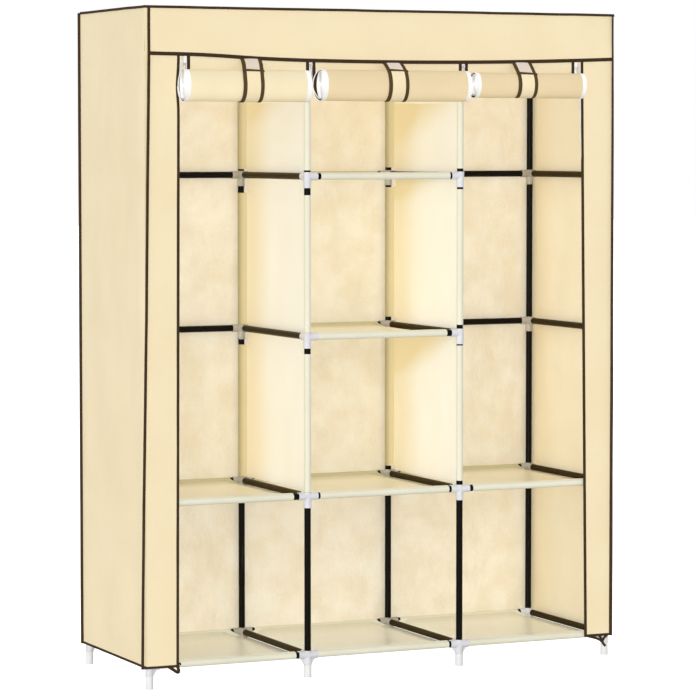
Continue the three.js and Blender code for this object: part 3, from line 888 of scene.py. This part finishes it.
across, share = shares(22, 130)
x = (2 * across - 1) * panelHalf
z = valanceEdge(x) * (1 - share) + panelTop * share
ripple = waves(x, z * 0.5, 15, 0.3) * coverSizes["ripple"] * bounded((topZ - z) / 0.06)
valanceGrid = gridOf(x, frontY + halfCloth - frontBow(z) + ripple, z)
valance = coverPanel("cloth_valance", valanceGrid, "valance")


def jambEdge(side, z):  # where a jamb's inner edge stands at a height
    down = (valanceLow - z) / (valanceLow - hemZ)
    if side == "left":
        return doorway[0] - coverSizes["taperLeft"] * down - coverSizes["rollPush"] * bell(z - rollZ, 0.035)
    return doorway[1] - 0.003 + coverSizes["taperRight"] * down


jambTop = valanceLow + 0.021
for side, out in leftAndRight:
    share, up = shares(110, 12)
    z = hemZ + up * (jambTop - hemZ)
    left, right = sorted((out * panelHalf, jambEdge(side, z)), key=np.mean)
    x = left * (1 - share) + right * share
    bend = waves(x, z * 0.4, 16 + out, 0.3) * 0.0008
    grid = gridOf(x, frontY + halfCloth - 0.0002 + np.minimum(bend, 0.0002), z)
    coverPanel(f"cloth_jamb_{side}", grid, f"jamb_{side}")
print("cover panels made")


# Bindings: brown tape folded over every edge of the cover

tape = dict(thick=0.0030, edge=0.0065, valance=0.0088, jamb=0.0074, door=0.0080, flange=0.0085, lying=0.0068,
            overlap=0.0016)
corner = dict(out=0.0030, turn=(45, 45), frontTurn=(55, 112), frontIn=0.0024, frontThick=0.0045,
              leftHem=-0.010, leftMove=0.0222)


def bind(shape, path, outward, width=tape["edge"], thick=tape["thick"], finish=0):
    addBand(shape, path, softBox(width, thick), outward, finish)


# Three corner seams stand out as flanges. The right front one turns forwards from hem to top, and is thicker.
shape = Shape()
for sx, sy in ((-1, 1), (1, -1), (1, 1)):
    x, y, thick, turns = sx * halfWidth, backY, tape["thick"], corner["turn"]
    if sy < 0:
        x, y, thick, turns = halfWidth - corner["frontIn"], frontY, corner["frontThick"], corner["frontTurn"]
    path = lineOf((x, y, hemZ - 0.002), (x, y, topZ + 0.001), 90)
    turn = np.radians(np.linspace(*turns, 90) + 6 * waves(path[:, 2], 0, 20 + sx + 2 * sy, 0.5))
    out = gridOf(sx * np.cos(turn), sy * np.sin(turn), 0)
    bind(shape, path + out * corner["out"], np.cross((0, 0, 1), out), tape["flange"], thick)

# The left front corner's seam leans. It is outside the corner at the hem, and lies on the front near the top.
path = lineOf((-halfWidth, frontY, hemZ - 0.002), (-halfWidth, frontY, topZ + 0.001), 90)
share = np.linspace(0, 1, 90)
path[:, 0] += corner["leftHem"] + corner["leftMove"] * share + waves(path[:, 2], 0, 17, 0.5) * 0.0006
path[:, 1] += 0.0010 - bounded((share - 0.2) / 0.4) * (0.0018 + frontBow(path[:, 2]))
bind(shape, path, ahead, tape["lying"])
cornerBinding = shape.piece("binding_corners", [bindingTape], "binding")

shape = Shape()
overTop, proud = topZ + 0.0008, 0.0006
for y, sy in ((frontY - proud, -1), (backY + proud, 1)):
    path = lineOf((-halfWidth, y, overTop), (halfWidth, y, overTop), 130)
    path[:, 2] += waves(path[:, 0], 0, 24 + sy, 0.3) * 0.0006
    bind(shape, path, (0, sy, 0.55))
for sx in (-1, 1):
    x = sx * (halfWidth + proud)
    path = lineOf((x, frontY, overTop), (x, backY, overTop), 60)
    path[:, 2] += waves(path[:, 1], 0, 27 + sx, 0.3) * 0.0006
    bind(shape, path, (sx, 0, 0.55))
topBinding = shape.piece("binding_top", [bindingTape], "binding")

shape = Shape()
overHem = hemZ + 0.001
for sx in (-1, 1):
    x = sx * (halfWidth - halfCloth)
    bind(shape, lineOf((x, frontY, overHem), (x, backY, overHem), 60), (sx, 0, 0))
y = backY - halfCloth
bind(shape, lineOf((-halfWidth, y, overHem), (halfWidth, y, overHem), 120), (0, 1, 0))
y = frontY + halfCloth
for side, outer in (("left", corner["leftHem"] - halfWidth), ("right", halfWidth)):
    bind(shape, lineOf((outer, y, overHem), (float(jambEdge(side, hemZ)), y, overHem), 16), ahead)
hemBinding = shape.piece("binding_hems", [bindingTape], "binding")

shape = Shape()
lift = np.array([0, -0.0002, tape["valance"] / 2 - tape["overlap"]])
bind(shape, valanceGrid[0, 1:] + lift, ahead, tape["valance"])
valanceBinding = shape.piece("binding_valance", [bindingTape], "binding")

for side, out in leftAndRight:
    shape = Shape()
    heights = np.linspace(hemZ - 0.001, jambTop - 0.003, 120)
    x = jambEdge(side, heights) + out * (tape["jamb"] / 2 - tape["overlap"])
    bind(shape, gridOf(x, frontY + halfCloth - 0.0001, heights), ahead, tape["jamb"])
    shape.piece(f"binding_jamb_{side}", [bindingTape], "binding")

print("bindings made")


# Doors: the cloth under the valance, its bindings and zip tapes, the roll and the strap

door = dict(cloth=0.0014, rollCloth=0.0009, length=1.36, panelRows=34, panelTop=0.012, zipOuter=0.0125,
            zipInner=0.0085, coil=(0.0020, 0.0016, 10, 2.4), pitch=0.00175, perTurn=44, mostTurns=13)
strapSizes = dict(wide=0.0500, cloth=0.0014, under=math.radians(292), slack=0.0012, crown=0.0004)
# Where each roll starts and ends, its half sizes, its lift and loose back, how many turns of its left end
# show a bare edge, and its strap's places.
doorLooks = {
    "left": dict(low=-0.5385, high=-0.2200, deep=0.0260, tall=0.0385, lift=0.0035, loose=0.004,
                 bareTurns=0, strapTop=-0.3565, strapFront=-0.3690),
    "middle": dict(low=-0.1870, high=0.2060, deep=0.0260, tall=0.0380, lift=0.0065, loose=0.010,
                   bareTurns=0, strapTop=0.0150, strapFront=0.0090),
    "right": dict(low=0.2240, high=0.5255, deep=0.0225, tall=0.0310, lift=0.0105, loose=0.006,
                  bareTurns=2, strapTop=0.3660, strapFront=0.3625),
}
zipAt = [-0.5243, -0.2005, 0.2065, 0.5205]
zipWide = [door["zipOuter"], door["zipInner"], door["zipInner"], door["zipOuter"]]
clothLayer = dict(panel=frontY + 0.0006, strap=frontY - 0.0010, binding=frontY - 0.0004, zip=frontY - 0.0001)


def blendDoor(piece):
    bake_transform(piece)


def blendStrap(piece, name, top):
    hinge = next(j["pos_m"] for j in joints if j["name"] == f"strap_{name}_open")
    max(top, hinge[2]) + 0.002
    hinge[2] - 0.004
    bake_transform(piece)


def doorPanel(name, number, looks, left, right):  # the cloth that hangs between the valance and the roll
    across, share = shares(door["panelRows"], 60)
    x = left + (right - left) * across
    z = rollZ * (1 - share) + (valanceEdge(x) + door["panelTop"]) * share
    beside = sum(bell(x - looks["strapTop"] - side * 0.030, 0.010) for side in (-1, 1))
    pucker = beside * bounded(1 - share * 1.2)
    y = clothLayer["panel"] + waves(x, z, 70 + number, 0.12) * 0.0004 + pucker * 0.0008
    panel = sheetPiece(f"cloth_door_{name}", gridOf(x, y, z), door["cloth"], [doorCloth], "cover_cloth",
                       f"door_panel_{name}", body=None)
    blendDoor(panel)
    return panel


def doorTrim(name, number):  # a binding, a zip tape and its teeth down both edges
    shape = Shape()
    for end, side in ((number, 1), (number + 1, -1)):
        edge = zipAt[end] + side * zipWide[end] / 2
        wide = zipWide[end] / 2 if 0 < end < 3 else zipWide[end] - 0.0035
        heights = np.linspace(rollZ, float(valanceEdge(edge)) + 0.006, door["panelRows"])
        bind(shape, gridOf(edge + side * tape["door"] / 2, clothLayer["binding"], heights), ahead,
             tape["door"], tape["thick"] * 0.8)
        bind(shape, gridOf(edge - side * wide / 2, clothLayer["zip"], heights), ahead, wide, 0.0011, 1)
        teeth = gridOf(edge - side * (wide - 0.0011), clothLayer["zip"] - 0.0008, heights)
        addBand(shape, teeth, softBox(*door["coil"]), ahead, 2)
    trim = shape.piece(f"trim_door_{name}", [bindingTape, zipTape, zipCoil], "binding", body=None)
    blendDoor(trim)
    return trim


# The roll: one sheet wound with its lining side out. Its ends show zip tape, and brown binding inside.
def doorRoll(name, number, looks):
    turn = np.arange(door["mostTurns"] * door["perTurn"] + 1) / door["perTurn"]
    angle = 2 * math.pi * turn
    reach = looks["deep"] - door["rollCloth"] / 2 - door["pitch"] * turn
    lift = looks["tall"] - looks["deep"]
    rise = lift - np.minimum(0.0011 * turn, lift - 0.001)
    wound = reachAlong(np.stack([reach * np.cos(angle), (reach + rise) * np.sin(angle)], axis=1))
    steps = min(int(np.searchsorted(wound, door["length"])), len(turn) - 1)
    turn, angle, reach, rise = (values[:steps + 1, None] for values in (turn, angle, reach, rise))
    length = looks["high"] - looks["low"]
    endPlaces = np.array([0, 0.002, 0.006, 0.0105, 0.0145])
    along = np.concatenate([endPlaces, np.linspace(0.019, length - 0.019, 36), length - endPlaces[::-1]])
    looseBack = bounded((1.35 - turn) / 0.3) * bounded(np.cos(angle)) ** 1.5 * looks["loose"]
    leftEnd = waves(turn, 0, 80 + number, 1.7) * 0.0012 - looseBack
    rightEnd = waves(turn, 0, 84 + number, 1.9) * 0.0012
    x = (looks["low"] + along + leftEnd * bounded(1 - along / 0.10) ** 2
         + rightEnd * bounded(1 - (length - along) / 0.10) ** 2)
    wave = waves(x, angle * 0.03, 90 + number, 0.09) * 0.0006
    waist = bell(x - looks["strapFront"], 0.035) * 0.0010
    radius = reach + (wave - waist) * bounded(1 - turn / 2.0)
    y = looks["centre"][0] + radius * np.cos(angle)
    z = looks["centre"][1] - (radius + rise) * np.sin(angle) - looks["lift"] * bounded(1 - turn / 0.5) ** 2
    outside = np.zeros((steps, len(along) - 1), int)
    outside[:, :3] = outside[:, -3:] = 1
    inside = np.zeros_like(outside)
    inside[:, :5] = inside[:, -5:] = 2
    inside[:, 0] = inside[:, -1] = 1
    inside[int(1.3 * door["perTurn"]):] = 1
    edge = np.ones(steps, int)
    edge[:looks["bareTurns"] * door["perTurn"]] = 0
    roll = sheetPiece(f"cloth_roll_{name}", gridOf(x, y, z), door["rollCloth"],
                      [paleRoll if name == "left" else tanRoll, zipTape, bindingTape], "cover_cloth",
                      f"door_roll_{name}", body=f"door_{name}", finish=outside, reverse=inside, edge=edge,
                      uv=np.stack(np.meshgrid(along, wound[:steps + 1]), axis=-1))
    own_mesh(roll)


# The strap: from behind the valance, round the front of the roll and under it
def doorStrap(name, looks):
    centre, wide = looks["centre"], strapSizes["wide"]
    reachOut, riseOut = looks["deep"] + 0.0006, looks["tall"] + 0.0006
    root = np.array([clothLayer["strap"], float(valanceEdge(looks["strapTop"]))]) - centre
    u, v = root[0] / reachOut, root[1] / riseOut
    touch = math.atan2(v, u) + math.acos(1 / math.hypot(u, v))
    arc = np.linspace(touch, strapSizes["under"], 46)
    slack = np.interp(arc, [touch, 1.5 * math.pi, 2 * math.pi], [strapSizes["slack"], 0.0, 0.0])
    bend = np.stack([(reachOut - slack) * np.cos(arc), (riseOut - slack) * np.sin(arc)], axis=1)
    behind = lineOf(root + (0.0004, 0.006), root, 5)[:-1]
    route = np.concatenate([behind, lineOf(root, bend[0], 10)[:-1], bend])
    run = reachAlong(route)
    share = smooth(bounded((run - run[4]) / (run[24] - run[4])))
    path = gridOf(looks["strapTop"] * (1 - share) + looks["strapFront"] * share, *(route + centre).T)
    across = np.linspace(-wide / 2, wide / 2, 13)
    outward = np.cross((1.0, 0, 0), unit(np.gradient(path, axis=0)))
    if outward[20, 1] > 0:
        outward = -outward
    crown = (1 - (np.abs(across) / (wide / 2)) ** 2) * strapSizes["crown"]
    grid = path[:, None] + across[None, :, None] * np.array([1.0, 0, 0]) + crown[:, None] * outward[:, None]
    strap = sheetPiece(f"strap_band_{name}", grid, strapSizes["cloth"], [strapCloth], "strap_cloth",
                       f"strap_{name}", body=None)
    blendStrap(strap, name, root[1] + centre[1])
    shape = Shape()
    for side in (-1, 1):
        edgePath = path + np.array([side * (wide / 2 - tape["door"] / 2 + 0.0008), 0, 0])
        bind(shape, edgePath, outward, 0.0098, 0.0028)
    overlapEnd = 5 + int(np.argmin(np.abs(route[5:30, 1] - riseOut + 0.0040)))  # where the upper band ends
    addSheet(shape, (grid + outward[:, None] * 0.0011)[1:overlapEnd, 2:-2], 0.0010, 1)
    cross = path[overlapEnd] + outward[overlapEnd] * 0.0012
    ends = cross + np.linspace(-wide / 2 - 0.002, wide / 2 + 0.003, 12)[:, None] * np.array([1.0, 0, -0.05])
    bind(shape, ends, outward[overlapEnd], 0.0068, 0.0028)
    trim = shape.piece(f"strap_trim_{name}", [strapTape, loopFinish], "binding", body=None)
    blendStrap(trim, name, root[1] + centre[1])


for number, (name, looks) in enumerate(doorLooks.items()):
    looks["centre"] = np.array([frontY - fit["seat"] - looks["deep"], rollZ + looks["lift"]])
    left = zipAt[number] + zipWide[number] / 2
    right = zipAt[number + 1] - zipWide[number + 1] / 2
    panel = doorPanel(name, number, looks, left, right)
    trim = doorTrim(name, number)
    doorRoll(name, number, looks)
    hanging = float(valanceEdge(0.0)) + door["panelTop"] - rollZ + 0.004
    right - left
    doorStrap(name, looks)
print("doors made")


# Zips on the jambs, and the four sliders

jambZip = dict(tape=(0.0048, 0.0010), coil=(0.0018, 0.0016, 10, 2.4), swing=0.0040, setIn=0.0022,
               swingOver=dict(left=(rollZ - 0.05, rollZ), right=(1.22, 1.36)))
shape = Shape()
for side, out in leftAndRight:
    heights = np.linspace(hemZ + 0.004, jambTop - 0.003, 110)
    low, high = jambZip["swingOver"][side]
    swing = jambZip["swing"] * bounded((heights - low) / (high - low))
    x = jambEdge(side, heights) - out * (swing - jambZip["setIn"])
    y = frontY + 0.0011
    bind(shape, gridOf(x, y, heights), ahead, *jambZip["tape"])
    addBand(shape, gridOf(x - out * 0.0022, y - 0.0006, heights), softBox(*jambZip["coil"]), ahead, 1)
shape.piece("zips_jamb", [zipTape, zipCoil], "zip_tape")

slider = dict(width=0.0078, height=0.0115, thick=0.0032, pull=0.020, pullWidth=0.0046, pullThick=0.0011,
              bridgeAt=0.0055, bridgeHalf=0.0032, bridgeRise=0.0016, pullAt=0.0062)
bodyOutline = [(-0.5, 0.0), (-0.44, 0.28), (-0.30, 0.62), (-0.26, 1.0)]
bodyOutline += [(-a, b) for a, b in reversed(bodyOutline)]
pullOutline = [(0, 0.55), (0.06, 0.8), (0.14, 0.9), (0.6, 0.8), (0.9, 1.0), (0.97, 0.9), (1.0, 0.6)]
for number, x in enumerate(zipAt, 1):
    shape = Shape()
    back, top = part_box(f"zip_slider_{number}")[1].yz
    back -= 0.0003
    front = back - slider["thick"]
    rings = [[(x + a * slider["width"] * shrink, back - out * slider["thick"],
               top - (0.5 + (b - 0.5) * shrink) * slider["height"]) for a, b in bodyOutline]
             for out, shrink in ((0.0, 0.94), (0.12, 1.0), (0.88, 1.0), (1.0, 0.92))]
    addRings(shape, rings)
    angle = np.linspace(0, math.pi, 12)
    bridge = gridOf(x, front - slider["bridgeRise"] * np.sin(angle) + 0.0003,
                    top - slider["bridgeAt"] + slider["bridgeHalf"] * np.cos(angle))
    addBand(shape, bridge, softBox(0.0016, 0.0010, 10, 2.5), (1, 0, 0))
    pull = []
    for share, wide in pullOutline:
        a, b = softBox(slider["pullWidth"] * wide, slider["pullThick"], 14, 3).T
        pull.append(gridOf(x + a, front - 0.0011 + b, top - slider["pullAt"] - share * slider["pull"]))
    addRings(shape, pull)
    shape.piece(f"slider_{number}_body", [sliderFinish], "zip_slider", body=f"slider_{number}",
                stands=[f"zip_slider_{number}"])
print("zips made")


# Bound flaps and ties at the two lower front corners, as steps from the hem's inner corner

loop = [(-0.026, 0, 0.001), (-0.014, -0.002, -0.007), (-0.003, -0.003, -0.014), (0.0005, -0.002, -0.0105),
        (-0.001, 0, -0.003), (0.0005, 0, 0.002)]
curl = [(0.001, 0, 0.005), (0.004, -0.001, 0.007), (0.005, -0.002, 0.002)]
knot = (0.049, -0.002, -0.016)
rightHem = halfWidth - 0.006 - float(jambEdge("right", hemZ))
tails = [
    [(-0.001, -0.001, 0.002), (0.018, -0.003, -0.003), (0.034, -0.004, -0.008), knot],
    [(rightHem, 0, 0.001), (0.056, -0.001, -0.006), knot],
    [knot, (0.052, -0.003, -0.022), (0.057, -0.004, -0.028)],
    [(0.040, 0, 0.001), (0.046, -0.001, -0.008), knot],
]


def smoothPath(points, count=30):  # a smooth line through a few points
    padded = np.concatenate([[2 * points[0] - points[1]], points, [2 * points[-1] - points[-2]]])
    made = []
    for i in range(1, len(padded) - 2):
        a, b, c, d = padded[i - 1:i + 3]
        for t in np.linspace(0, 1, max(3, count // (len(points) - 1)), endpoint=False):
            made.append(0.5 * (2 * b + (c - a) * t + (2 * a - 5 * b + 4 * c - d) * t * t
                               + (3 * b - a - 3 * c + d) * t ** 3))
    return np.array(made + [points[-1]])


shape = Shape()
for side, steps, width, thick in (("left", loop, 0.0078, 0.0022), ("left", curl, 0.0036, 0.0018),
                                  *(("right", tail, 0.0062, 0.0024) for tail in tails)):
    start = np.array([float(jambEdge(side, hemZ)), frontY + 0.0006, hemZ])
    bind(shape, smoothPath(start + np.array(steps)), ahead, width, thick)
shape.piece("ties_corner", [bindingTape], "binding")


# Floor, light and air

studio = dict(floor=40, floorGlow=0.86, ambient=0.53, even=1.92, round=0.5, key=12.5, fill=10.5, back=30)

finish = Finish("paleFloor")  # shows as white as the background, with only a trace of a shadow
glow = finish.plain.node("LightPath", output="Is Camera Ray") * studio["floorGlow"]
mesh = bpy.data.meshes.new("floor")
reach = studio["floor"]
corners = [(x * reach, y * reach, -0.0005) for x, y in ((-1, -1), (1, -1), (1, 1), (-1, 1))]
mesh.from_pydata(corners, [], [(0, 1, 2, 3)])
mesh.materials.append(finish.surface(Base_Color=(0.86, 0.86, 0.86), Roughness=0.9, Emission_Color=(1, 1, 1),
                                     Emission_Strength=glow))
floor = addObject("floor", mesh)

world = bpy.data.worlds.new("studio")
world.use_nodes = True
bpy.context.scene.world = world
world.node_tree.nodes.clear()
air = Wire(world.node_tree)
seen = air.node("LightPath", output="Is Camera Ray")
soft = air.node("Background", {}, {"Color": (1, 1, 1), "Strength": studio["ambient"]})
white = air.node("Background", {}, {"Color": (1, 1, 1), "Strength": 1.0})
mixed = air.node("MixShader", {}, {0: seen, 1: soft, 2: white})
out = world.node_tree.nodes.new("ShaderNodeOutputWorld")
world.node_tree.links.new(mixed.socket, out.inputs[0])


def addLight(name, kind, power, direction):
    data = bpy.data.lights.new(name, kind)
    data.energy = power
    lamp = addObject(name, data)
    lamp.rotation_euler = Vector(direction).to_track_quat("-Z", "Y").to_euler()
    return lamp


for name, power, place, size in (("key", studio["key"], (-2.6, -4.2, 3.0), 2.6),
                                 ("fill", studio["fill"], (3.0, -4.0, 1.8), 2.6),
                                 ("behind", studio["back"], (0.5, 4.5, 3.0), 3.0)):
    lamp = addLight(name, "AREA", power, Vector((0, 0, 0.8)) - Vector(place))
    lamp.location = place
    lamp.data.shape = "RECTANGLE"
    lamp.data.size = lamp.data.size_y = size
for name, direction in (("even", (0.65, 0.70, -0.29)), ("round", (-0.72, -0.69, 0.0))):
    lamp = addLight(name, "SUN", studio[name], direction)
    lamp.data.angle = math.radians(20)
    lamp.data.use_shadow = False  # the photograph's light reaches every compartment
bpy.context.scene.view_settings.view_transform = "Standard"

print("scene made")
